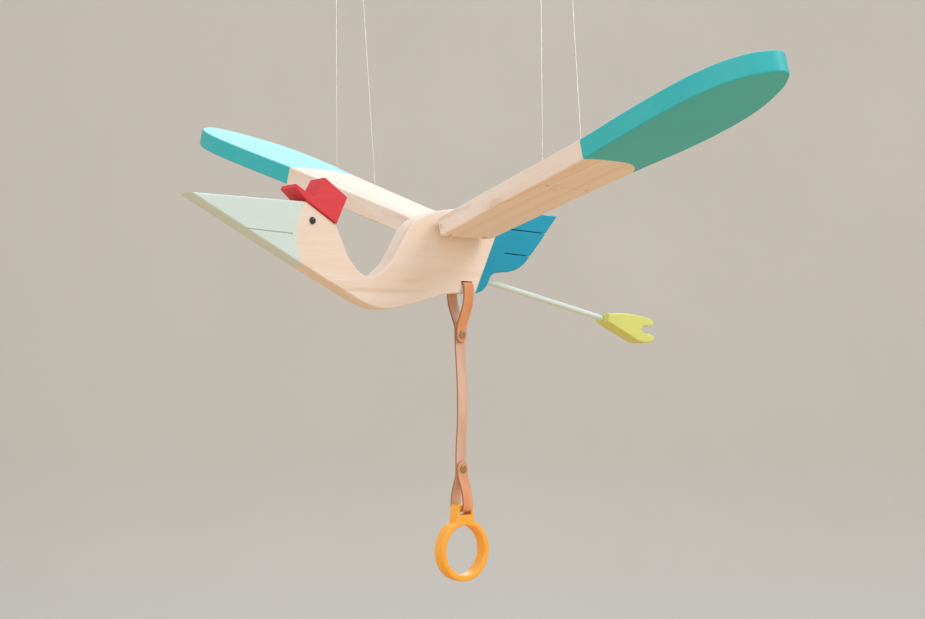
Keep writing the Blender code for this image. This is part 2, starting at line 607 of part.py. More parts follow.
def make_rivet(name, z, loop):
    """A rivet through both layers of a loop, with a low dome on each side."""
    half_stack = LAYER + STRAP_THICKNESS / 2 + FIT_GAP
    dome = dome_profile(RIVET_CAP_RADIUS, RIVET_CAP_HEIGHT)
    profile = [(radius, half_stack + height) for radius, height in dome]
    profile += [(RIVET_POST_RADIUS, half_stack)]
    profile += [(radius, -height) for radius, height in reversed(profile)]
    rivet = turned(name, profile, BRASS, 16)
    rivet.location = in_bird(SLOT_CENTRE_X, 0, z)
    rivet.rotation_euler = (math.radians(90), 0, 0)
    through = Vector((0, 2 * half_stack, 0))
    cut(loop, rod(name + "_hole", rivet.location - through, rivet.location + through,
                  RIVET_POST_RADIUS + FIT_GAP, None, CUTTERS, 12))


def make_strap():
    """One strip of leather, cut into stiff sections at its bends: a loop, the long strap, and a loop."""
    upper_seat = SLOT_TOP_Z - SLOT_HEIGHT + FIT_GAP + STRAP_THICKNESS / 2
    lower_seat = LUG_SLOT_TOP_Z - FIT_GAP - STRAP_THICKNESS / 2
    upper_route = loop_route(BOARD_THICKNESS / 2, upper_seat, upper_seat - UPPER_FOLD_LENGTH,
                             UPPER_RIVET_Z - STRAP_END_PAST_RIVET, UPPER_BEND_Z + BEND_GAP / 2)
    lower_route = loop_route(RING_THICKNESS / 2, lower_seat, lower_seat + LOWER_FOLD_LENGTH,
                             LOWER_RIVET_Z + STRAP_END_PAST_RIVET, LOWER_BEND_Z - BEND_GAP / 2)
    upper_loop = leather_strip("upper_strap_loop", upper_route)
    leather_strip("leather_strap", [(LAYER, UPPER_BEND_Z - BEND_GAP / 2, CORNER),
                                    (LAYER, LOWER_BEND_Z + BEND_GAP / 2, CORNER)])
    lower_loop = leather_strip("lower_strap_loop", lower_route)
    make_rivet("upper_rivet", UPPER_RIVET_Z, upper_loop)
    make_rivet("lower_rivet", LOWER_RIVET_Z, lower_loop)


def make_ring():
    centre = (SLOT_CENTRE_X / MM, RING_CENTRE_Z / MM)
    slot_half = (STRAP_WIDTH / 2 + STRAP_SIDE_GAP) / MM
    lug_half = slot_half + LUG_WALL / MM
    lug_turn = math.degrees(math.asin((lug_half + LUG_FLARE / MM) / (RING_RADIUS / MM)))
    outline = arc(centre, RING_RADIUS / MM, 90 + lug_turn, 450 - lug_turn, 14)
    outline[0] = (*outline[0][:2], CORNER)
    outline[-1] = (*outline[-1][:2], CORNER)
    outline += [(centre[0] + way * lug_half, LUG_TOP_Z / MM, CORNER) for way in (1, -1)]
    ring = stand_up(outline_plate("grasp_ring", outline, RING_THICKNESS, ORANGE_PAINT))
    middle = in_bird(SLOT_CENTRE_X, 0, RING_CENTRE_Z)
    across = Vector((0, RING_THICKNESS, 0))
    cut(ring, rod("hand_hole", middle - across, middle + across, RING_HOLE_RADIUS, None, CUTTERS, 40))
    cut(ring, box("lug_slot", in_bird(SLOT_CENTRE_X - slot_half * MM, -RING_THICKNESS,
                                      LUG_SLOT_TOP_Z - LUG_SLOT_HEIGHT),
                  in_bird(SLOT_CENTRE_X + slot_half * MM, RING_THICKNESS, LUG_SLOT_TOP_Z), None, CUTTERS))
    round_edges(ring, RING_EDGE_ROUND)


make_trunk()
make_cap()
make_leg()
for side_name, (side, _) in SIDES.items():
    make_bird_eye(f"{side_name}_eye", side)
    make_wing(side_name)
    make_lines(side_name)
make_hinge_eyes()
make_hanger()
make_strap()
make_ring()

for piece in PARTS.objects:
    if piece.type == "MESH":
        piece.data.shade_smooth()
        piece.data.set_sharp_from_angle(angle=math.radians(35))
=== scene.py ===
"""The looks of a pelican mobile: bare and painted boards, a leather pull, brass rivets and nylon lines.

Every piece stands where its solid in the frame is. The bird faces -X and its left wing points to -Y. Outlines
and marks are in millimetres, measured from the front of the wing roots at the height of the wing hinges.
"""

import math

import bpy
from mathutils import Matrix, Vector


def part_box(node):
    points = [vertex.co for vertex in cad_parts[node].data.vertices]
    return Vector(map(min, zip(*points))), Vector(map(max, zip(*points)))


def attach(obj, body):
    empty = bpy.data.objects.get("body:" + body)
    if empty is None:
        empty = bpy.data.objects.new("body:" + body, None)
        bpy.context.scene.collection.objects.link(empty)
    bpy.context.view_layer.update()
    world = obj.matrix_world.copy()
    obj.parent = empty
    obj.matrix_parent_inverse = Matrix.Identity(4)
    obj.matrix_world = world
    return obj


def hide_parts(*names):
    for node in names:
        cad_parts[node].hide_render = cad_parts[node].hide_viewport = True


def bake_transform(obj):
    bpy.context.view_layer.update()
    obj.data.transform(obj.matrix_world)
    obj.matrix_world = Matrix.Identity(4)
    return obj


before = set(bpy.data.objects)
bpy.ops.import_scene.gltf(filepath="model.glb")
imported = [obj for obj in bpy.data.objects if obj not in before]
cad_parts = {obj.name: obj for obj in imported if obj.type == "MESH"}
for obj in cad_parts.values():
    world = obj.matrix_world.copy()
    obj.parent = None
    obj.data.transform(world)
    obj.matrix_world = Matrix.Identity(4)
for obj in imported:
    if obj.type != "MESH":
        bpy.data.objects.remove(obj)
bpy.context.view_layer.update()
bpy.ops.object.select_all(action="DESELECT")

MM = 0.001
CORNER = "VECTOR"
SMOOTH = "AUTO"


# ---------------------------------------------------------------- places and sizes, from the frame

def middle(node):
    """The middle of a node's box."""
    low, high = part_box(node)
    return (Vector(low) + Vector(high)) / 2


def extent(node):
    """A node's size along X, Y and Z."""
    low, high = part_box(node)
    return Vector(high) - Vector(low)


PIN_HEAD_PROUD = 0.4 * MM
PIN_RADIUS = 1.5 * MM
HINGE_SIDE = middle("right_hinge_pin").y
BIRD = Vector((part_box("left_hinge_pin")[0][0] + PIN_HEAD_PROUD, 0, middle("left_hinge_pin").z))
BOARD_THICKNESS = extent("trunk").y
WING_THICKNESS = 16.5 * MM
SIDES = {"left": (-1, math.radians(13)), "right": (1, math.radians(20))}
WING_HOLES_X = (2 * MM, 46 * MM)
WING_HOLE_REACH = 130 * MM
BAR_HOLES_X = (4 * MM, 34 * MM)
BAR_HOLE_SIDE = 140 * MM
BAR_HOLE_RADIUS = 1.6 * MM
HINGE_NOTCHES = {"front": (7 * MM, 2.6 * MM), "rear": (45 * MM, 6 * MM)}  # middle and width along the hinge
HINGE_EYE_RADIUS = 2.5 * MM
HINGE_WIRE_RADIUS = 0.7 * MM
HINGE_EYE_DEPTH = 6 * MM
LEG_RADIUS = 2.5 * MM
LEG_IN_BOARD = 14 * MM  # of the leg's length, inside the trunk and inside the foot
LEG_HOLE_DEPTH = 14.3 * MM
LEG_HOLE_RADIUS = LEG_RADIUS + 0.25 * MM
LEG_HOLE_RUN_OUT = 12 * MM  # past the board's edge, so that the drill clears it
STRAP_WIDTH = 10.4 * MM
STRAP_THICKNESS = 2 * MM
STRAP_BOW = 1.2 * MM  # by which its folds stand off the faces they go round
STRAP_BEND_RADIUS = 2.7 * MM
STRAP_END_PAST_RIVET = 6.8 * MM
STRAP_HANG = ((1, -100), (-0.6, -122), (-1.5, -145), (-1.1, -168), (0.9, -192))  # its slight sway
LAYER = 1.15 * MM  # from the middle of the strap's two layers to either one
PULL_X = middle("leather_strap").x
RIVETS = {"upper_rivet": -91 * MM, "lower_rivet": -207 * MM}
RIVET_POST_RADIUS = 1.1 * MM
RIVET_CAP_RADIUS = 3.1 * MM
RIVET_CAP_HEIGHT = 1.1 * MM
LUG_SLOT_FLOOR = -246
LUG_SLOT_TOP = -241.2
LUG_SIDE_WALL = 1.7  # beside the lug's slot
RING_CENTRE_Z = -276.5
RING_RADIUS = 26.5
RING_HOLE_RADIUS = 21.2 * MM
LINE_DIAMETER = 0.4 * MM

TRUNK_OUTLINE = [
    (-237, 12.6, CORNER), (-131.5, 12.6, CORNER), (-102.5, -4.4, CORNER),
    (-96.5, -17, SMOOTH), (-88, -33, SMOOTH), (-69.5, -45, SMOOTH), (-50, -35.5, SMOOTH),
    (-38, -19.5, SMOOTH), (-24, 1, SMOOTH), (-8, 10.3, SMOOTH), (20, 16.5, SMOOTH), (60, 18.6, SMOOTH),
    (100, 18.8, SMOOTH), (143.5, 18.3, CORNER), (110, -19.5, SMOOTH), (100.5, -28.5, SMOOTH),
    (86, -34.6, SMOOTH), (72, -35.6, SMOOTH), (64, -39, SMOOTH), (57.5, -49, SMOOTH), (50, -54, SMOOTH),
    (30, -55.4, SMOOTH), (10.9, -57.1, SMOOTH), (-8.4, -62, SMOOTH), (-29.6, -67.7, SMOOTH),
    (-54, -71.2, SMOOTH), (-70, -68.3, SMOOTH), (-91, -59.3, SMOOTH), (-133, -39.3, SMOOTH),
]
CAP_OUTLINE = [
    (-103.4, -3.9, CORNER), (-132.4, 13.1, CORNER), (-143.9, 22.7, CORNER), (-142.6, 25.6, CORNER),
    (-128.6, 17.6, CORNER), (-124.9, 16.4, SMOOTH), (-123, 18.6, CORNER), (-114.6, 32.8, CORNER),
    (-92.7, 18.3, CORNER),
]
FOOT_OUTLINE = [
    (207.6, -68.8, CORNER), (220, -68.2, SMOOTH), (238, -68.6, SMOOTH), (256, -71, SMOOTH),
    (267, -74.3, SMOOTH), (268.6, -77.6, SMOOTH), (264, -79.4, SMOOTH), (254.5, -79.6, CORNER),
    (251.5, -83, CORNER), (256, -86.2, SMOOTH), (266, -88, SMOOTH), (269.7, -91, SMOOTH),
    (265, -94.4, SMOOTH), (253.6, -95.2, SMOOTH), (236.3, -88.8, SMOOTH), (219.4, -81.7, SMOOTH),
    (207.6, -76.6, CORNER),
]
WING_OUTLINE = [  # across the wing, and out along it, with the root's ends first and last
    (0, -8.25, CORNER), (-7, 94, SMOOTH), (-13, 188, SMOOTH), (-19.5, 236, SMOOTH), (-25, 290, SMOOTH),
    (-25, 322, SMOOTH), (-18, 350, SMOOTH), (-7, 364, SMOOTH), (8, 370, SMOOTH), (23, 359, SMOOTH),
    (38, 336, SMOOTH), (50, 308, SMOOTH), (57, 273, SMOOTH), (59, 230, SMOOTH), (56, 180, SMOOTH),
    (55, -8.25, CORNER),
]
WING_ROOT_CHORD = 55 * MM
CAP_GAP = Vector((0.5, 0, 0.866)) * 0.3 * MM  # the cap stands this far off the head
SLOT_TOP = -45
SLOT_FLOOR = -48.2
SLOT_HALF = STRAP_WIDTH / 2 / MM + 1
MOUTH = ((-200, -11.6), (-146, -13.8))
TAIL_CUTS = (((79, 3.2), (150, 0.8)), ((78.5, -18.6), (128, -20.6)))
LEG_LINE = ((63, -43), (208.5, -73))


def in_bird(x, z, y=0.0):
    """A point from millimetres along and above the bird, and metres to its side."""
    return BIRD + Vector((x * MM, y, z * MM))


# ---------------------------------------------------------------- working on a piece by hand

def only(piece):
    """Makes a piece the active and only selected one."""
    bpy.ops.object.select_all(action="DESELECT")
    piece.select_set(True)
    bpy.context.view_layer.objects.active = piece
    return piece


def settle(piece, place=None):
    """Puts a piece's place and turn into its mesh, so that its object sits at the origin."""
    if place is not None:
        piece.matrix_world = place
    only(piece)
    bpy.ops.object.transform_apply(location=True, rotation=True, scale=True)
    return piece


def pick(piece, kind, test):
    """Opens a piece in edit mode with the vertices, edges or faces selected that pass a test."""
    only(piece)
    bpy.ops.object.mode_set(mode="EDIT")
    bpy.ops.mesh.select_mode(type=kind)
    bpy.ops.mesh.select_all(action="DESELECT")
    bpy.ops.object.mode_set(mode="OBJECT")
    mesh = piece.data
    if kind == "FACE":
        for face in mesh.polygons:
            face.select = test(face.center, face.normal)
    elif kind == "EDGE":
        for edge in mesh.edges:
            edge.select = test(*(mesh.vertices[i].co for i in edge.vertices))
    else:
        for vertex in mesh.vertices:
            vertex.select = test(vertex.co)
    bpy.ops.object.mode_set(mode="EDIT")


def close_edit():
    bpy.ops.object.mode_set(mode="OBJECT")


def apply(piece, kind, **settings):
    """Adds a modifier to a piece and applies it."""
    modifier = piece.modifiers.new(kind.lower(), kind)
    for name, value in settings.items():
        setattr(modifier, name, value)
    only(piece)
    bpy.ops.object.modifier_apply(modifier=modifier.name)
    return piece


def carve(piece, cutter, operation="DIFFERENCE"):
    apply(piece, "BOOLEAN", object=cutter, operation=operation, solver="EXACT")
    bpy.data.objects.remove(cutter)


def ease_edges(piece, width, segments=4, angle=40):
    """Rounds every edge sharper than an angle."""
    apply(piece, "BEVEL", width=width, segments=segments, limit_method="ANGLE",
          angle_limit=math.radians(angle), use_clamp_overlap=False, loop_slide=False, miter_outer="MITER_ARC")


def block(low, high, place=Matrix()):
    """A box between two corners, to cut with."""
    low, high = Vector(low), Vector(high)
    bpy.ops.mesh.primitive_cube_add(size=1, location=(low + high) / 2)
    made = bpy.context.object
    made.scale = high - low
    settle(made)
    return settle(made, place)


def rod(start, end, radius, sides=48):
    """A plain round rod between two points, to cut with or to shape."""
    along = end - start
    bpy.ops.mesh.primitive_cylinder_add(vertices=sides, radius=radius, depth=along.length)
    turn = along.to_track_quat("Z", "Y").to_matrix().to_4x4()
    return settle(bpy.context.object, Matrix.Translation((start + end) / 2) @ turn)


def board(name, outline, thickness, rounding=0.0, flip=1, steps=12, hole=()):
    """A flat board in its own XY plane, sawn to an outline in millimetres, its edges rounded over."""
    bpy.ops.curve.primitive_bezier_circle_add(radius=1)
    made = bpy.context.object
    made.name = name
    curve = made.data
    curve.dimensions = "2D"
    curve.fill_mode = "BOTH"
    curve.extrude = thickness / 2 - rounding
    curve.bevel_depth = rounding
    curve.bevel_resolution = 3
    curve.offset = -rounding
    curve.resolution_u = steps
    for number, loop in enumerate([outline, hole] if hole else [outline]):
        if number:
            curve.splines.new("BEZIER").use_cyclic_u = True
        knots = curve.splines[number].bezier_points
        knots.add(len(loop) - len(knots))
        for knot, (x, y, handle) in zip(knots, loop):
            knot.co = (x * MM, y * MM * flip, 0)
            knot.handle_left_type = handle
            knot.handle_right_type = handle
    only(made)
    bpy.ops.object.convert(target="MESH")
    made = bpy.context.object
    pick(made, "VERT", lambda co: True)
    bpy.ops.mesh.remove_doubles(threshold=0.02 * MM)
    bpy.ops.mesh.normals_make_consistent(inside=False)
    close_edit()
    return made


STAND = Matrix.Rotation(math.radians(90), 4, "X")  # turns a board from its own plane into the bird's


def saw_cut(start, end, width, low_y, high_y):
    """The path of a saw blade along the bird, between two depths across it."""
    run = Vector((end[0] - start[0], end[1] - start[1])) * MM
    place = Matrix.Translation(in_bird(*start)) @ Matrix.Rotation(-math.atan2(run.y, run.x), 4, "Y")
    return block((0, low_y, -width / 2), (run.length, high_y, width / 2), place)


def dress(piece, name, body, finishes, nodes=(), angle=32):
    """Smooths a finished piece, names it and hands it over to its body and the nodes that it stands for."""
    piece.name = name
    only(piece)
    if piece.type == "MESH":
        bpy.ops.object.shade_smooth_by_angle(angle=math.radians(angle))
        apply(piece, "WEIGHTED_NORMAL", keep_sharp=True)
    piece.data.materials.clear()
    for finish in finishes:
        piece.data.materials.append(finish)
    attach(piece, body)
    if nodes:
        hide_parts(*nodes)
    return piece


# ---------------------------------------------------------------- camera

def set_camera():
    """The camera stands before the bird on its left, a little below the wings, and looks slightly up."""
    yaw, pitch, roll = math.radians(39.9), math.radians(2.8), math.radians(-0.4)
    ahead = Vector((math.sin(yaw) * math.cos(pitch), math.cos(yaw) * math.cos(pitch), math.sin(pitch)))
    level = Vector((math.cos(yaw), -math.sin(yaw), 0))
    upright = level.cross(ahead)
    right = level * math.cos(roll) + upright * math.sin(roll)
    up = upright * math.cos(roll) - level * math.sin(roll)
    data = bpy.data.cameras.new("camera")
    data.sensor_width = 36
    data.lens = 62.27
    data.clip_end = 50
    camera = bpy.data.objects.new("camera", data)
    bpy.context.scene.collection.objects.link(camera)
    turn = Matrix((right, up, -ahead)).transposed().to_4x4()
    camera.matrix_world = Matrix.Translation(BIRD + Vector((-0.853, -1.065, -0.137))) @ turn
    bpy.context.scene.camera = camera


set_camera()


# ---------------------------------------------------------------- mixing finishes

class Finish:
    """A material or a node group under construction, with short calls that add its nodes."""

    def __init__(self, tree):
        self.tree = tree

    def add(self, kind, settings=None, **inputs):
        made = self.tree.nodes.new("ShaderNode" + kind)
        for name, value in (settings or {}).items():
            setattr(made, name, value)
        for name, value in inputs.items():
            self.feed(made.inputs[name.replace("_", " ")], value)
        return made

    def feed(self, socket, value):
        if isinstance(value, bpy.types.NodeSocket):
            self.tree.links.new(value, socket)
        else:
            socket.default_value = value

    def math(self, operation, first, second=0.0):
        made = self.add("Math", {"operation": operation})
        self.feed(made.inputs[0], first)
        self.feed(made.inputs[1], second)
        return made.outputs[0]

    def ramp(self, value, low, high, to_low=0.0, to_high=1.0):
        made = self.add("MapRange", {"interpolation_type": "SMOOTHSTEP"})
        for socket, given in zip(made.inputs, (value, low, high, to_low, to_high)):
            self.feed(socket, given)
        return made.outputs[0]

    def mix(self, mask, under, over, mode="MIX"):
        """Lays one colour over another where the mask is 1."""
        made = self.add("Mix", {"data_type": "RGBA", "blend_type": mode})
        self.feed(made.inputs[0], mask)
        for socket, value in ((made.inputs[6], under), (made.inputs[7], over)):
            self.feed(socket, value if isinstance(value, bpy.types.NodeSocket) else (*value, 1))
        return made.outputs[2]

    def noise(self, vector, scale, detail=2.0, roughness=0.5):
        made = self.add("TexNoise", None, Vector=vector, Scale=scale, Detail=detail, Roughness=roughness)
        return made.outputs[0]

    def stretch(self, vector, scale):
        """The same coordinates, drawn out or squeezed along each axis."""
        made = self.add("VectorMath", {"operation": "MULTIPLY"})
        self.feed(made.inputs[0], vector)
        made.inputs[1].default_value = scale
        return made.outputs[0]

    def place(self, location=(0, 0, 0), rotation=(0, 0, 0)):
        """Object coordinates, measured from a place and turned with a board."""
        here = self.add("TexCoord").outputs["Object"]
        made = self.add("Mapping", {"vector_type": "TEXTURE"}, Vector=here)
        made.inputs["Location"].default_value = location
        made.inputs["Rotation"].default_value = rotation
        return made.outputs[0]

    def parts(self, vector):
        return self.add("SeparateXYZ", None, Vector=vector).outputs

    def vector(self, x, y, z):
        return self.add("CombineXYZ", None, X=x, Y=y, Z=z).outputs[0]

    def bump(self, height, strength, distance, normal=None):
        made = self.add("Bump", None, Height=height, Strength=strength, Distance=distance)
        if normal is not None:
            self.feed(made.inputs["Normal"], normal)
        return made.outputs[0]

    def use(self, group, **inputs):
        made = self.tree.nodes.new("ShaderNodeGroup")
        made.node_tree = group
        for name, value in inputs.items():
            self.feed(made.inputs[name], value)
        return made.outputs


def shared_effect(name, inputs, outputs):
    """A new node group with named inputs and outputs."""
    tree = bpy.data.node_groups.new(name, "ShaderNodeTree")
    for label, kind, value in inputs:
        socket = tree.interface.new_socket(label, in_out="INPUT", socket_type="NodeSocket" + kind)
        if value is not None:
            socket.default_value = value
    for label, kind in outputs:
        tree.interface.new_socket(label, in_out="OUTPUT", socket_type="NodeSocket" + kind)
    work = Finish(tree)
    return tree, work, tree.nodes.new("NodeGroupInput").outputs, tree.nodes.new("NodeGroupOutput").inputs


def new_finish(name, roughness, **plain):
    """A material with its shader, whose uniform values are set on the shader's own sockets."""
    made = bpy.data.materials.new(name)
    made.use_nodes = True
    shader = made.node_tree.nodes["Principled BSDF"]
    shader.inputs["Roughness"].default_value = roughness
    for label, value in plain.items():
        shader.inputs[label.replace("_", " ")].default_value = value
    return made, Finish(made.node_tree), shader.inputs


def make_grain():
    """Straight, fine wood figure: broad bands, thin dark lines, short fibres. X runs along the grain."""
    tree, work, given, out = shared_effect("straight grain", [("Along", "Vector", None)],
                                           [("Band", "Float"), ("Line", "Float"), ("Fibre", "Float")])
    x, y, z = work.parts(given["Along"])
    sway = work.math("MULTIPLY", work.noise(work.stretch(given["Along"], (5, 9, 9)), 1.0, 1.0), 0.012)
    swayed = work.vector(x, work.math("ADD", y, sway), z)
    out_band = work.noise(work.stretch(swayed, (3, 95, 40)), 1.0, 3.0, 0.6)
    work.feed(out["Band"], work.ramp(out_band, 0.35, 0.68))
    lines = work.noise(work.stretch(swayed, (4, 330, 150)), 1.0, 2.0, 0.55)
    work.feed(out["Line"], work.ramp(lines, 0.56, 0.76))
    fibres = work.noise(work.stretch(given["Along"], (60, 1800, 1800)), 1.0, 2.0, 0.6)
    work.feed(out["Fibre"], fibres)
    return tree


def make_arris():
    """A mask along a piece's edges, from the difference between its own normal and a rounded one."""
    tree, work, given, out = shared_effect("arris", [("Width", "Float", 0.001), ("Along", "Vector", None)],
                                           [("Edge", "Float")])
    soft = work.add("Bevel", {"samples": 6}, Radius=given["Width"]).outputs[0]
    hard = work.add("NewGeometry").outputs["Normal"]
    meet = work.add("VectorMath", {"operation": "DOT_PRODUCT"})
    work.feed(meet.inputs[0], soft)
    work.feed(meet.inputs[1], hard)
    open_edge = work.ramp(work.math("SUBTRACT", 1.0, meet.outputs["Value"]), 0.02, 0.25)
    patchy = work.ramp(work.noise(given["Along"], 420.0, 3.0), 0.3, 0.7)
    work.feed(out["Edge"], work.math("MULTIPLY", open_edge, patchy))
    return tree


def make_brushwork():
    """Thin brushed paint: faint strokes along a board, soft clouds and a fine tooth."""
    tree, work, given, out = shared_effect("brushwork", [("Along", "Vector", None)],
                                           [("Tone", "Float"), ("Tooth", "Float")])
    strokes = work.noise(work.stretch(given["Along"], (20, 300, 300)), 1.0, 2.0)
    clouds = work.noise(given["Along"], 26.0, 2.0)
    tone = work.math("ADD", work.math("MULTIPLY", strokes, 0.45), work.math("MULTIPLY", clouds, 0.55))
    work.feed(out["Tone"], work.ramp(tone, 0.3, 0.7))
    work.feed(out["Tooth"], work.noise(given["Along"], 1500.0, 2.0))
    return tree


def make_handling():
    """Soft, uneven patches where a surface has been sanded, touched and oiled."""
    tree, work, given, out = shared_effect("handling", [("At", "Vector", None)], [("Patch", "Float")])
    work.feed(out["Patch"], work.ramp(work.noise(given["At"], 17.0, 3.0, 0.55), 0.32, 0.72))
    return tree


GRAIN = make_grain()
ARRIS = make_arris()
BRUSHWORK = make_brushwork()
HANDLING = make_handling()

WOOD_PALE = (0.86, 0.77, 0.70)
WOOD_WARM = (0.81, 0.66, 0.53)
WOOD_LINE = (0.66, 0.43, 0.27)
MINT = (0.62, 0.76, 0.75)
TAIL_BLUE = (0.0, 0.31, 0.50)
WING_TEAL = (0.03, 0.48, 0.52)
CAP_RED = (0.68, 0.035, 0.05)
FOOT_LIME = (0.66, 0.71, 0.20)
RING_ORANGE = (0.97, 0.44, 0.05)


def wood_colour(work, along):
    """Bare sanded pine, as a colour and a height."""
    grain = work.use(GRAIN, Along=along)
    patch = work.use(HANDLING, At=along)["Patch"]
    colour = work.mix(work.math("MULTIPLY", grain["Band"], 0.75), WOOD_PALE, WOOD_WARM)
    colour = work.mix(work.math("MULTIPLY", grain["Line"], 0.42), colour, WOOD_LINE)
    colour = work.mix(work.math("MULTIPLY", patch, 0.22), colour, (0.84, 0.66, 0.56))
    colour = work.mix(work.ramp(grain["Fibre"], 0.45, 0.8, 0.0, 0.18), colour, (0.60, 0.43, 0.30))
    sunk_lines = work.math("MULTIPLY", grain["Line"], -0.5)
    raised_fibres = work.math("MULTIPLY", grain["Fibre"], 0.5)
    height = work.math("ADD", sunk_lines, raised_fibres)
    return colour, height


def paint_colour(work, along, deep, amount=0.18):
    """Brushed paint of a colour, with its lighter strokes, as a colour and a height."""
    strokes = work.use(BRUSHWORK, Along=along)
    light = tuple(min(1.0, value * 1.1 + 0.05) for value in deep)
    colour = work.mix(work.math("MULTIPLY", strokes["Tone"], amount), deep, light)
    return colour, strokes["Tooth"]


def board_finish(name, along, work, sockets, painted):
    """Bare wood with painted areas over it, given as (mask, colour) pairs."""
    colour, height = wood_colour(work, along)
    rough = 0.62
    for mask, paint in painted:
        coat, tooth = paint_colour(work, along, paint)
        colour = work.mix(mask, colour, coat)
        rough = work.ramp(mask, 0, 1, rough, 0.42)
        height = work.mix(mask, height, work.math("ADD", work.math("MULTIPLY", tooth, 0.25), 0.8))
    work.feed(sockets["Base Color"], colour)
    work.feed(sockets["Roughness"], rough)
    work.feed(sockets["Normal"], work.bump(height, 0.35, 0.12 * MM))


def plain_board(name, location, rotation=(0, 0, 0), swap=False):
    """Bare wood whose grain runs along X, or along Y if swapped, from a place."""
    finish, work, sockets = new_finish(name, 0.6, Specular_IOR_Level=0.35)
    along = work.place(location, rotation)
    if swap:
        x, y, z = work.parts(along)
        along = work.vector(y, x, z)
    board_finish(name, along, work, sockets, [])
    return finish


def trunk_finish():
    """Bare wood, with a mint beak in front of the round head and a blue tail behind a slanting line."""
    finish, work, sockets = new_finish("pine board with painted beak and tail", 0.6, Specular_IOR_Level=0.35)
    along = work.place(BIRD)
    x, _, z = work.parts(along)
    head = Vector((-96.4, -15)) * MM
    from_head = work.vector(work.math("SUBTRACT", x, head.x), 0.0, work.math("SUBTRACT", z, head.y))
    reach = work.add("VectorMath", {"operation": "LENGTH"})
    work.feed(reach.inputs[0], from_head)
    rag = work.math("MULTIPLY", work.math("SUBTRACT", work.noise(along, 700.0), 0.5), 0.5 * MM)
    beyond = work.ramp(work.math("ADD", reach.outputs["Value"], rag), 44.9 * MM, 45.1 * MM)
    beak = work.math("MULTIPLY", beyond, work.math("LESS_THAN", x, head.x))
    low, high = Vector((44.6, -54.5)) * MM, Vector((67.9, -5.3)) * MM
    normal = Vector((high.y - low.y, low.x - high.x)).normalized()
    past = work.math("ADD", work.math("MULTIPLY", work.math("SUBTRACT", x, low.x), normal.x),
                     work.math("MULTIPLY", work.math("SUBTRACT", z, low.y), normal.y))
    tail = work.ramp(work.math("ADD", past, rag), -0.1 * MM, 0.1 * MM)
    board_finish(finish.name, along, work, sockets, [(beak, MINT), (tail, TAIL_BLUE)])
    return finish


def wing_finish(side_name):
    """Bare wood whose outer half is painted, up to a line that curves back at both edges."""
    side, dihedral = SIDES[side_name]
    finish, work, sockets = new_finish(f"{side_name} wing board with painted end", 0.6,
                                       Specular_IOR_Level=0.35)
    local = work.place((BIRD.x, side * HINGE_SIDE, BIRD.z), (side * dihedral, 0, 0))
    x, y, z = work.parts(local)
    along = work.vector(y, x, z)
    rag = work.math("MULTIPLY", work.math("SUBTRACT", work.noise(along, 700.0), 0.5), 0.5 * MM)
    aside = work.math("SUBTRACT", x, 14 * MM)
    curve_back = work.math("MULTIPLY", work.math("POWER", work.math("ABSOLUTE", aside), 4.0), 6500.0)
    out = work.math("ADD", work.math("MULTIPLY", y, side), work.math("ADD", curve_back, rag))
    board_finish(finish.name, along, work, sockets, [(work.ramp(out, 191.9 * MM, 192.1 * MM), WING_TEAL)])
    return finish


def painted_finish(name, deep, location, roughness=0.45, worn=0.5, amount=0.2):
    """One paint all over, thinner and lighter along its edges."""
    finish, work, sockets = new_finish(name, roughness, Specular_IOR_Level=0.4)
    along = work.place(location)
    colour, tooth = paint_colour(work, along, deep, amount)
    edge = work.use(ARRIS, Width=0.9 * MM, Along=along)["Edge"]
    pale = tuple(min(1.0, value * 0.75 + 0.24) for value in deep)
    colour = work.mix(work.math("MULTIPLY", edge, worn), colour, pale)
    work.feed(sockets["Base Color"], colour)
    work.feed(sockets["Roughness"], work.ramp(tooth, 0.3, 0.7, roughness - 0.05, roughness + 0.08))
    work.feed(sockets["Normal"], work.bump(tooth, 0.3, 0.1 * MM))
    return finish


def leather_finish(name, deep, pale, pore_scale, pore_depth, roughness):
    """Vegetable-tanned leather: pores or suede nap, with drawn-out clouds along the strap."""
    finish, work, sockets = new_finish(name, roughness, Specular_IOR_Level=0.35, Sheen_Weight=0.15)
    here = work.place((PULL_X, 0, 0))
    cloud = work.ramp(work.noise(work.stretch(here, (90, 90, 22)), 1.0, 3.0), 0.3, 0.7)
    pores = work.add("TexVoronoi", {"feature": "F1"}, Vector=here, Scale=pore_scale).outputs["Distance"]
    nap = work.noise(here, pore_scale * 1.7, 3.0, 0.65)
    colour = work.mix(cloud, deep, pale)
    colour = work.mix(work.ramp(nap, 0.42, 0.75, 0.0, 0.4), colour, tuple(value * 0.62 for value in deep))
    work.feed(sockets["Base Color"], colour)
    work.feed(sockets["Roughness"], work.ramp(nap, 0.3, 0.7, roughness - 0.08, roughness + 0.08))
    height = work.math("ADD", work.math("MULTIPLY", pores, 0.6), work.math("MULTIPLY", nap, 0.5))
    work.feed(sockets["Normal"], work.bump(height, 0.5, pore_depth))
    return finish


def metal_finish(name, bright, dull, roughness, tarnish):
    """Metal with fine scratches and soft tarnish."""
    finish, work, sockets = new_finish(name, roughness, Metallic=1.0)
    here = work.place()
    scratch = work.noise(work.stretch(here, (900, 900, 6000)), 1.0, 2.0)
    spots = work.ramp(work.noise(here, 900.0, 3.0, 0.6), 0.4, 0.65)
    work.feed(sockets["Base Color"], work.mix(work.math("MULTIPLY", spots, tarnish), bright, dull))
    work.feed(sockets["Roughness"], work.ramp(scratch, 0.3, 0.7, roughness - 0.06, roughness + 0.1))
    work.feed(sockets["Normal"], work.bump(scratch, 0.2, 0.02 * MM))
    return finish


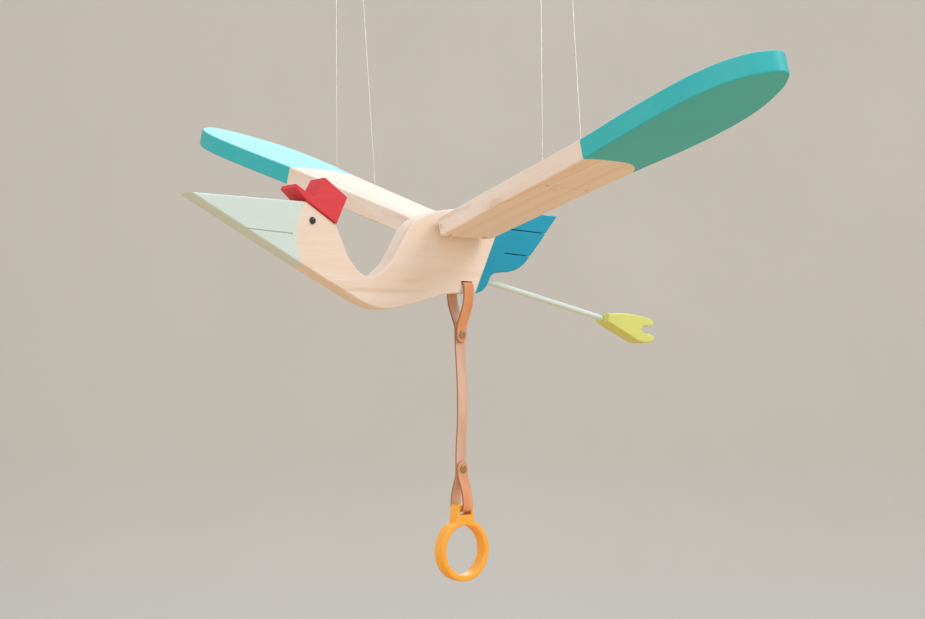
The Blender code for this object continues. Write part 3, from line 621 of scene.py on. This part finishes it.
def gloss_black():
    finish, work, sockets = new_finish("black lacquered bead", 0.12, Coat_Weight=0.5, Coat_Roughness=0.05)
    here = work.place()
    haze = work.noise(here, 700.0, 2.0)
    work.feed(sockets["Base Color"], work.mix(haze, (0.006, 0.006, 0.008), (0.02, 0.02, 0.024)))
    work.feed(sockets["Roughness"], work.ramp(haze, 0.3, 0.7, 0.08, 0.2))
    return finish


def clear_nylon():
    """Drawn nylon: clear, with slight streaks along the strand."""
    finish, work, sockets = new_finish("clear nylon", 0.2, Transmission_Weight=0.55, IOR=1.53, Alpha=0.4)
    here = work.place()
    streak = work.noise(work.stretch(here, (3000, 3000, 120)), 1.0, 2.0)
    work.feed(sockets["Base Color"], work.mix(streak, (0.86, 0.88, 0.88), (0.97, 0.98, 0.98)))
    work.feed(sockets["Roughness"], work.ramp(streak, 0.3, 0.7, 0.12, 0.3))
    return finish


CAP_PAINT = painted_finish("thick red paint", CAP_RED, in_bird(-118, 16), 0.5, 0.55, 0.3)
FOOT_PAINT = painted_finish("lime paint", FOOT_LIME, in_bird(238, -80), 0.45, 0.3)
LEG_PAINT = painted_finish("mint paint on a dowel", MINT, in_bird(135, -58), 0.4, 0.3)
RING_PAINT = painted_finish("orange lacquer", RING_ORANGE, (PULL_X, 0, 0), 0.38, 0.2)
GRAIN_LEATHER = leather_finish("grain side of the leather", (0.70, 0.29, 0.13), (0.80, 0.38, 0.19),
                               1500.0, 0.1 * MM, 0.5)
FLESH_LEATHER = leather_finish("flesh side of the leather", (0.64, 0.40, 0.29), (0.74, 0.50, 0.38),
                               2400.0, 0.16 * MM, 0.75)
CUT_LEATHER = leather_finish("cut edge of the leather", (0.30, 0.13, 0.07), (0.45, 0.22, 0.13),
                             2000.0, 0.12 * MM, 0.65)
BRASS = metal_finish("antique brass", (0.46, 0.38, 0.22), (0.20, 0.17, 0.11), 0.34, 0.8)
STEEL = metal_finish("drawn steel", (0.82, 0.83, 0.84), (0.60, 0.60, 0.60), 0.42, 0.4)
BEAD = gloss_black()
NYLON = clear_nylon()
HANGER_WOOD = plain_board("hanger board", (0, 0, 0), swap=True)
DOWEL_WOOD = plain_board("birch dowel", middle("cap_dowel"))


# ---------------------------------------------------------------- the trunk, the cap and the foot

def leg_point(distance):
    """A point so far along the leg from where it leaves the board."""
    start, end = (in_bird(*point) for point in LEG_LINE)
    return start + (end - start).normalized() * distance


def make_trunk():
    trunk = settle(board("trunk", TRUNK_OUTLINE, BOARD_THICKNESS, 1.2 * MM), Matrix.Translation(BIRD) @ STAND)
    half = BOARD_THICKNESS / 2
    for start, end in TAIL_CUTS:
        carve(trunk, saw_cut(start, end, 0.9 * MM, -2 * half, 2 * half))
    for side in (-1, 1):
        depths = sorted((side * (half - 1 * MM), side * 2 * half))
        carve(trunk, saw_cut(*MOUTH, 0.9 * MM, *depths))
        carve(trunk, rod(in_bird(*MOUTH[1], depths[0]), in_bird(*MOUTH[1], depths[1]), 0.9 * MM, 24))
    slot_x = (PULL_X - BIRD.x) / MM
    slot_low = in_bird(slot_x - SLOT_HALF, SLOT_FLOOR, -2 * half)
    slot_high = in_bird(slot_x + SLOT_HALF, SLOT_TOP, 2 * half)
    carve(trunk, block(slot_low, slot_high))
    carve(trunk, rod(leg_point(-LEG_HOLE_DEPTH), leg_point(LEG_HOLE_RUN_OUT), LEG_HOLE_RADIUS, 64))
    dress(trunk, "trunk_board", "torso", [trunk_finish()], ["trunk"])


def make_cap():
    place = Matrix.Translation(BIRD + CAP_GAP) @ STAND
    cap = settle(board("cap", CAP_OUTLINE, extent("cap").y, 0.7 * MM), place)
    dress(cap, "peaked_cap", "torso", [CAP_PAINT], ["cap"])


def make_leg():
    free = (Vector(LEG_LINE[1]) - Vector(LEG_LINE[0])).length * MM
    leg = rod(leg_point(-LEG_IN_BOARD), leg_point(free + LEG_IN_BOARD), LEG_RADIUS, 48)
    ease_edges(leg, 0.5 * MM, 3)
    dress(leg, "leg_dowel", "torso", [LEG_PAINT], ["leg_rod"])
    foot = settle(board("foot", FOOT_OUTLINE, BOARD_THICKNESS, 1.4 * MM), Matrix.Translation(BIRD) @ STAND)
    hole_start = leg_point(free - LEG_HOLE_RUN_OUT)
    carve(foot, rod(hole_start, leg_point(free + LEG_HOLE_DEPTH), LEG_HOLE_RADIUS, 64))
    dress(foot, "webbed_foot", "torso", [FOOT_PAINT], ["foot"])


def make_bird_eyes():
    for side_name, (side, _) in SIDES.items():
        place = middle(f"{side_name}_eye")
        bpy.ops.mesh.primitive_uv_sphere_add(segments=40, ring_count=24, radius=3 * MM)
        bead = bpy.context.object
        bead.location = (place.x, side * BOARD_THICKNESS / 2, place.z)
        bead.rotation_euler = (math.radians(90), 0, 0)
        bead.scale = (1, 1, 0.7)
        settle(bead)
        pick(bead, "VERT", lambda co: True)
        bpy.ops.mesh.bisect(plane_co=(0, side * (BOARD_THICKNESS / 2 - 0.3 * MM), 0), plane_no=(0, side, 0),
                            use_fill=True, clear_inner=True)
        close_edit()
        dress(bead, f"{side_name}_eye_bead", "torso", [BEAD], [f"{side_name}_eye"])


# ---------------------------------------------------------------- the wings and their hinges

def wing_place(side, dihedral):
    hinge = BIRD + Vector((0, side * HINGE_SIDE, 0))
    return Matrix.Translation(hinge) @ Matrix.Rotation(side * dihedral, 4, "X")


def make_wing(side_name):
    side, dihedral = SIDES[side_name]
    place = wing_place(side, dihedral)
    half = WING_THICKNESS / 2
    wing = board(f"{side_name}_wing", WING_OUTLINE, WING_THICKNESS, flip=side)
    pick(wing, "EDGE", lambda a, b: all(
        abs(co.y + side * half) < 0.05 * MM and abs(abs(co.z) - half) < 0.05 * MM for co in (a, b)))
    bpy.ops.mesh.bevel(offset=half * 0.98, segments=12, affect="EDGES", clamp_overlap=False)
    close_edit()
    ease_edges(wing, 1.5 * MM)
    settle(wing, place)
    for x in WING_HOLES_X:
        hole = Vector((x, side * WING_HOLE_REACH, 0))
        carve(wing, rod(place @ (hole - Vector((0, 0, 2 * half))), place @ (hole + Vector((0, 0, 2 * half))),
                        1.2 * MM, 24))
    carve(wing, rod(place @ Vector((-WING_ROOT_CHORD, 0, 0)),
                    place @ Vector((WING_ROOT_CHORD - 1.2 * MM, 0, 0)), PIN_RADIUS + 0.2 * MM, 32))
    notch_depth = HINGE_EYE_RADIUS + HINGE_WIRE_RADIUS + 0.6 * MM
    for centre, width in HINGE_NOTCHES.values():
        near, far = sorted((-side * 2 * half, side * notch_depth))
        carve(wing, block((centre - width / 2, near, -2 * half), (centre + width / 2, far, 2 * half), place))
    dress(wing, f"{side_name}_wing_board", f"{side_name}_wing", [wing_finish(side_name)],
          [f"{side_name}_wing"])
    low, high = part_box(f"{side_name}_hinge_pin")
    y, z = side * HINGE_SIDE, BIRD.z
    pin = rod(Vector((low[0], y, z)), Vector((high[0], y, z)), PIN_RADIUS, 40)
    ease_edges(pin, 0.45 * MM, 4)
    dress(pin, f"{side_name}_steel_pin", f"{side_name}_wing", [STEEL], [f"{side_name}_hinge_pin"])


def wire_eye(centre, eye_radius, wire_radius, axis, shank_end):
    """A ring of wire about an axis, with a straight shank."""
    bpy.ops.mesh.primitive_torus_add(major_radius=eye_radius, minor_radius=wire_radius,
                                     major_segments=48, minor_segments=16)
    turn = Vector(axis).to_track_quat("Z", "Y").to_matrix().to_4x4()
    eye = settle(bpy.context.object, Matrix.Translation(centre) @ turn)
    start = centre + (shank_end - centre).normalized() * eye_radius
    carve(eye, rod(start, shank_end, wire_radius * 0.98, 16), "UNION")
    return eye


def make_hinge_eyes():
    for side_name, (side, _) in SIDES.items():
        for label, (along, _) in HINGE_NOTCHES.items():
            node = f"{side_name}_{label}_hinge_eye"
            centre = BIRD + Vector((along, side * HINGE_SIDE, 0))
            shank_end = BIRD + Vector((along, side * (BOARD_THICKNESS / 2 - HINGE_EYE_DEPTH), 0))
            eye = wire_eye(centre, HINGE_EYE_RADIUS, HINGE_WIRE_RADIUS, (1, 0, 0), shank_end)
            dress(eye, f"{side_name}_{label}_screw_eye", "torso", [STEEL], [node])


# ---------------------------------------------------------------- the hanger and the lines

BAR_LOW, BAR_HIGH = (Vector(corner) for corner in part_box("hanger_bar"))
BAR_TOP = BAR_HIGH.z


def make_hanger():
    size = extent("hanger_bar")
    radius = size.x / 2 / MM
    reach = size.y / 2 / MM - radius
    outline = []
    for way, first in ((1, 0), (-1, 180)):
        for step in range(9):
            angle = math.radians(first + 22.5 * step)
            outline.append((radius * math.cos(angle), way * reach + radius * math.sin(angle), SMOOTH))
    bar = settle(board("bar", outline, size.z, steps=6), Matrix.Translation(middle("hanger_bar")))
    ease_edges(bar, 1.6 * MM)
    for side in (-1, 1):
        for x in BAR_HOLES_X:
            hole = Vector((BIRD.x + x, side * BAR_HOLE_SIDE, 0))
            below = hole + Vector((0, 0, BAR_LOW.z - size.z))
            above = hole + Vector((0, 0, BAR_TOP + size.z))
            carve(bar, rod(below, above, BAR_HOLE_RADIUS, 24))
    dress(bar, "hanger_board", "hanger", [HANGER_WOOD], ["hanger_bar"])
    eye = wire_eye(Vector((0, 0, 0)), 7.5 * MM, 1.5 * MM, (0, 1, 0), Vector((0, 0, BAR_TOP - 6 * MM)))
    collar = rod(Vector((0, 0, BAR_TOP + 0.05 * MM)), Vector((0, 0, BAR_TOP + 1.2 * MM)), 3 * MM, 40)
    ease_edges(collar, 0.3 * MM, 3)
    carve(eye, collar, "UNION")
    dress(eye, "hanging_screw_eye", "hanger", [STEEL], ["hanger_eye"])


def strand(name, points):
    """A nylon strand through the points, as one open spline."""
    curve = bpy.data.curves.new(name, "CURVE")
    curve.dimensions = "3D"
    curve.bevel_depth = LINE_DIAMETER / 2
    curve.bevel_resolution = 3
    curve.use_fill_caps = True
    spline = curve.splines.new("POLY")
    spline.points.add(len(points) - 1)
    for knot, point in zip(spline.points, points):
        knot.co = (*point, 1)
    made = bpy.data.objects.new(name, curve)
    bpy.context.scene.collection.objects.link(made)
    return made


def make_knot(name, hook, body, node):
    """Five close turns of the strand round itself, pulled down on to the bar."""
    turns = []
    for step in range(61):
        angle = step * math.tau / 12
        swell = 1.1 + 0.5 * math.sin(math.pi * step / 60)
        rise = 0.5 + 2.2 * step / 60
        turns.append(hook + Vector((swell * math.cos(angle), swell * math.sin(angle), rise)) * MM)
    return dress(strand(name, turns), name, body, [NYLON], [node])


def make_lines(side_name):
    side, dihedral = SIDES[side_name]
    place = wing_place(side, dihedral)
    top = WING_THICKNESS / 2 + 0.8 * MM
    under = -WING_THICKNESS / 2 - LINE_DIAMETER / 2 - 0.25 * MM
    lines = f"{side_name}_lines"
    for label, wing_x, bar_x in zip(("front", "rear"), WING_HOLES_X, BAR_HOLES_X):
        foot = place @ Vector((wing_x, side * WING_HOLE_REACH, top))
        hook = Vector((BIRD.x + bar_x, side * BAR_HOLE_SIDE, BAR_TOP + 0.4 * MM))
        points = [foot.lerp(hook, step / 16) for step in range(17)]
        knot = make_knot(f"{side_name}_{label}_barrel_knot", hook, lines, f"{side_name}_{label}_knot")
        name = f"{side_name}_{label}_strand"
        piece = dress(strand(name, points), name, lines, [NYLON], [f"{side_name}_{label}_line"])
    front, rear = WING_HOLES_X
    bend = 1.5 * MM
    down = [(0.0, z) for z in (top - 0.1 * MM, top / 2, 0.0, under / 2)]
    down += [(bend * (1 - math.cos(math.radians(a))), under + bend * (1 - math.sin(math.radians(a))))
             for a in range(0, 91, 15)]
    route = [(front + x, z) for x, z in down]
    route += [(front + (rear - front) * part, under) for part in (0.25, 0.5, 0.75)]
    route += [(rear - x, z) for x, z in reversed(down)]
    points = [place @ Vector((x, side * WING_HOLE_REACH, z)) for x, z in route]
    name = f"{side_name}_wing_strand"
    piece = dress(strand(name, points), name, f"{side_name}_wing", [NYLON],
                  [f"{side_name}_wing_line"])


# ---------------------------------------------------------------- the pull

def strap_fold(half_width, seat, meet):
    """One side of a fold, from the edge it goes round to where the layers meet, as (y, z, handle)."""
    bow = half_width + STRAP_THICKNESS / 2 + STRAP_BOW
    bend = STRAP_BEND_RADIUS
    points = [(bow - bend, seat, CORNER)]
    for angle in (30, 60, 90):
        back = bend * (1 - math.cos(math.radians(angle)))
        side = bow - bend * (1 - math.sin(math.radians(angle)))
        points.append((side, seat + math.copysign(back, meet - seat), SMOOTH))
    for way, left in ((0.25, 1), (0.45, 0.86), (0.68, 0.47), (0.83, 0.18), (0.92, 0.05)):
        points.append((LAYER + (bow - LAYER) * left, seat + (meet - seat) * way, SMOOTH))
    return points + [(LAYER, meet, CORNER)]


def strap_route():
    """The strap's middle line, from its upper end over the slot's floor and down through the ring's lug."""
    upper_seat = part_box("upper_strap_loop")[1][2] - BIRD.z - STRAP_THICKNESS / 2
    lower_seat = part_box("lower_strap_loop")[0][2] - BIRD.z + STRAP_THICKNESS / 2
    upper = strap_fold(BOARD_THICKNESS / 2, upper_seat, upper_seat - 40 * MM)
    lower = strap_fold(extent("grasp_ring").y / 2, lower_seat, lower_seat + 32.5 * MM)
    hang = [(y * MM, z * MM, SMOOTH) for y, z in STRAP_HANG]
    route = [(-LAYER, RIVETS["upper_rivet"] - STRAP_END_PAST_RIVET, CORNER)]
    route += [(-y, z, handle) for y, z, handle in reversed(upper)] + upper + hang
    route += lower[::-1] + [(-y, z, handle) for y, z, handle in lower]
    return route + [(-LAYER, RIVETS["lower_rivet"] + STRAP_END_PAST_RIVET, CORNER)]


def make_strap():
    """A flat strap with round ends, bent along its route and given its thickness."""
    route = strap_route()
    bpy.ops.curve.primitive_bezier_curve_add(radius=1)
    path = bpy.context.object
    path.data.dimensions = "2D"
    path.data.resolution_u = 24
    knots = path.data.splines[0].bezier_points
    knots.add(len(route) - len(knots))
    for knot, (y, z, handle) in zip(knots, route):
        knot.co = (y, z, 0)
        knot.handle_left_type = handle
        knot.handle_right_type = handle
    bpy.context.view_layer.update()
    length = path.data.splines[0].calc_length()
    bpy.ops.mesh.primitive_plane_add(size=1, location=(length / 2, 0, 0))
    strap = bpy.context.object
    strap.scale = (length, STRAP_WIDTH, 1)
    settle(strap)
    pick(strap, "VERT", lambda co: True)
    bpy.ops.mesh.bevel(offset=STRAP_WIDTH * 0.48, segments=8, affect="VERTICES")
    close_edit()
    slice_count = 230
    for step in range(1, slice_count):
        pick(strap, "VERT", lambda co: True)
        bpy.ops.mesh.bisect(plane_co=(length * step / slice_count, 0, 0), plane_no=(1, 0, 0))
        close_edit()
    settle(strap, Matrix.Rotation(math.radians(-90), 4, "X"))
    apply(strap, "CURVE", object=path, deform_axis="POS_X")
    bpy.data.objects.remove(path)
    for finish in (GRAIN_LEATHER, FLESH_LEATHER, CUT_LEATHER):
        strap.data.materials.append(finish)
    apply(strap, "SOLIDIFY", thickness=STRAP_THICKNESS, offset=0, use_even_offset=True,
          material_offset=1, material_offset_rim=2)
    ease_edges(strap, 0.3 * MM, 2, 60)
    across = Matrix(((0, 0, 1), (1, 0, 0), (0, 1, 0))).to_4x4()
    settle(strap, Matrix.Translation((PULL_X, 0, BIRD.z)) @ across)
    low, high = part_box("leather_strap")
    halfway = Vector((PULL_X, 0, (low[2] + high[2]) / 2))
    lower_half = strap.copy()
    lower_half.data = strap.data.copy()
    bpy.context.scene.collection.objects.link(lower_half)
    halves = ((strap, "upper", "torso", "strap", high[2], -1, ["upper_strap_loop", "leather_strap"]),
              (lower_half, "lower", "ring", "strap", low[2], 1, ["lower_strap_loop"]))
    for half, name, holder, hanging, bend_z, way, nodes in halves:
        pick(half, "VERT", lambda co: True)
        bpy.ops.mesh.bisect(plane_co=halfway, plane_no=(0, 0, 1), use_fill=True,
                            clear_inner=name == "upper", clear_outer=name == "lower")
        close_edit()
        half.name = f"{name}_leather_pull"
        only(half)
        bpy.ops.object.shade_smooth_by_angle(angle=math.radians(32))
        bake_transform(half)
        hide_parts(*nodes)


def make_rivets():
    """Double-cap rivets: a post through both layers, and a low domed cap with a fine ring on each side."""
    stack = LAYER + STRAP_THICKNESS / 2
    for name, z in RIVETS.items():
        centre = Vector((PULL_X, 0, BIRD.z + z))
        reach = Vector((0, stack + 0.4 * MM, 0))
        post = rod(centre - reach, centre + reach, RIVET_POST_RADIUS, 24)
        for side in (-1, 1):
            face = centre + Vector((0, side * (stack + 0.25 * MM), 0))
            cap = rod(face, face + Vector((0, side * RIVET_CAP_HEIGHT, 0)), RIVET_CAP_RADIUS, 48)
            outer = face.y + side * RIVET_CAP_HEIGHT
            pick(cap, "FACE", lambda middle, normal: abs(middle.y - outer) < 0.01 * MM)
            bpy.ops.mesh.bevel(offset=0.55 * MM, segments=5, affect="EDGES")
            close_edit()
            pick(cap, "FACE",
                 lambda middle, normal: abs(middle.y - outer) < 0.01 * MM and normal.y * side > 0.9)
            bpy.ops.mesh.inset(thickness=0.25 * MM, depth=-0.08 * MM)
            bpy.ops.mesh.inset(thickness=0.15 * MM, depth=0.1 * MM)
            close_edit()
            carve(post, cap, "UNION")
        body = "torso" if name == "upper_rivet" else "ring"
        dress(post, name.replace("rivet", "cap_rivet"), body, [BRASS], [name])


def make_ring():
    """A ring with a slotted lug on top, all its edges well rounded."""
    centre_x = (PULL_X - BIRD.x) / MM
    thickness = extent("grasp_ring").y
    lug_top = (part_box("grasp_ring")[1][2] - BIRD.z) / MM
    lug_half = SLOT_HALF + LUG_SIDE_WALL
    turn = math.degrees(math.asin((lug_half + 2) / RING_RADIUS))
    outline = []
    steps = 14
    for step in range(steps + 1):
        angle = math.radians(90 + turn + (360 - 2 * turn) * step / steps)
        corner = CORNER if step in (0, steps) else SMOOTH
        outline.append((centre_x + RING_RADIUS * math.cos(angle),
                        RING_CENTRE_Z + RING_RADIUS * math.sin(angle), corner))
    outline += [(centre_x + way * lug_half, lug_top, CORNER) for way in (1, -1)]
    hole = []
    for step in range(steps):
        angle = math.radians(-360 * step / steps)
        hole.append((centre_x + RING_HOLE_RADIUS / MM * math.cos(angle),
                     RING_CENTRE_Z + RING_HOLE_RADIUS / MM * math.sin(angle), SMOOTH))
    place = Matrix.Translation(BIRD) @ STAND
    ring = settle(board("ring", outline, thickness, 1.5 * MM, steps=8, hole=hole), place)
    slot_low = in_bird(centre_x - SLOT_HALF, LUG_SLOT_FLOOR, -thickness)
    slot_high = in_bird(centre_x + SLOT_HALF, LUG_SLOT_TOP, thickness)
    carve(ring, block(slot_low, slot_high))
    dress(ring, "lacquered_ring", "ring", [RING_PAINT], ["grasp_ring"])


make_trunk()
make_cap()
make_leg()
make_bird_eyes()
for side_name in SIDES:
    make_wing(side_name)
    make_lines(side_name)
make_hinge_eyes()
make_hanger()
make_strap()
make_rivets()
make_ring()

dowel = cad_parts["cap_dowel"]
for place in dowel.material_slots:
    place.material = DOWEL_WOOD


# ---------------------------------------------------------------- studio

def area_light(name, at, aim, size, power, colour):
    data = bpy.data.lights.new(name, "AREA")
    data.size = size
    data.energy = power
    data.color = colour
    made = bpy.data.objects.new(name, data)
    bpy.context.scene.collection.objects.link(made)
    made.visible_camera = False
    made.location = at
    made.rotation_euler = (Vector(aim) - Vector(at)).to_track_quat("-Z", "Y").to_euler()
    return made


def make_studio():
    """A pale wall that sweeps down into a pale floor, a big soft key light and a soft sky."""
    yaw = math.radians(39.9)
    ahead = Vector((math.sin(yaw), math.cos(yaw), 0))
    floor_z, back = -1.15, 2.3
    bpy.ops.mesh.primitive_plane_add(size=1)
    sweep = bpy.context.object
    sweep.name = "studio_sweep"
    sweep.scale = (9, 2 * back, 1)
    settle(sweep)
    pick(sweep, "EDGE", lambda a, b: a.y > back * 0.9 and b.y > back * 0.9)
    bpy.ops.mesh.extrude_region_move(TRANSFORM_OT_translate={"value": (0, 0, 4)})
    close_edit()
    pick(sweep, "EDGE", lambda a, b: a.y > back * 0.9 and b.y > back * 0.9 and abs(a.z) + abs(b.z) < 0.01)
    bpy.ops.mesh.bevel(offset=0.6, segments=16, affect="EDGES")
    close_edit()
    only(sweep)
    bpy.ops.object.shade_smooth()
    settle(sweep, Matrix.Translation((BIRD.x, 0, floor_z)) @ Matrix.Rotation(-yaw, 4, "Z"))
    finish, work, sockets = new_finish("studio plaster", 0.85)
    here = work.place()
    mottle = work.ramp(work.noise(here, 1.4, 5.0, 0.6), 0.3, 0.7)
    plaster = work.mix(mottle, (0.62, 0.62, 0.595), (0.645, 0.645, 0.62))
    height = work.parts(here)["Z"]
    rise = work.ramp(height, floor_z, floor_z + 0.06)
    work.feed(sockets["Base Color"], work.mix(rise, (0.70, 0.50, 0.31), plaster))
    sweep.data.materials.append(finish)
    world = bpy.data.worlds.new("studio")
    bpy.context.scene.world = world
    world.use_nodes = True
    work = Finish(world.node_tree)
    height = work.parts(work.add("TexCoord").outputs["Generated"])["Z"]
    sky = work.mix(work.ramp(height, -0.5, 0.6), (0.84, 0.66, 0.44), (0.95, 0.97, 1.0))
    background = world.node_tree.nodes["Background"]
    work.feed(background.inputs["Color"], sky)
    background.inputs["Strength"].default_value = 0.84
    bpy.context.scene.view_settings.view_transform = "Standard"
    aim = BIRD + Vector((0.02, -0.05, -0.03))
    area_light("key", aim + Vector((0.9, -1.3, 1.5)), aim, 1.1, 20, (0.985, 0.985, 1.0))
    area_light("left_fill", aim + Vector((-1.8, -0.4, 0.6)), aim, 1.6, 9, (0.92, 0.965, 1.0))
    window = area_light("back_window", aim + Vector((1.4, 1.4, 1.05)), aim, 1.6, 22, (0.96, 0.985, 1.0))
    unlit = bpy.data.collections.new("out of the window's light")
    unlit.objects.link(sweep)
    unlit.collection_objects[0].light_linking.link_state = "EXCLUDE"
    window.light_linking.receiver_collection = unlit
    area_light("floor_bounce", aim + Vector((0.1, -0.3, -1.0)), aim, 1.6, 8, (1.0, 0.74, 0.44))


make_studio()
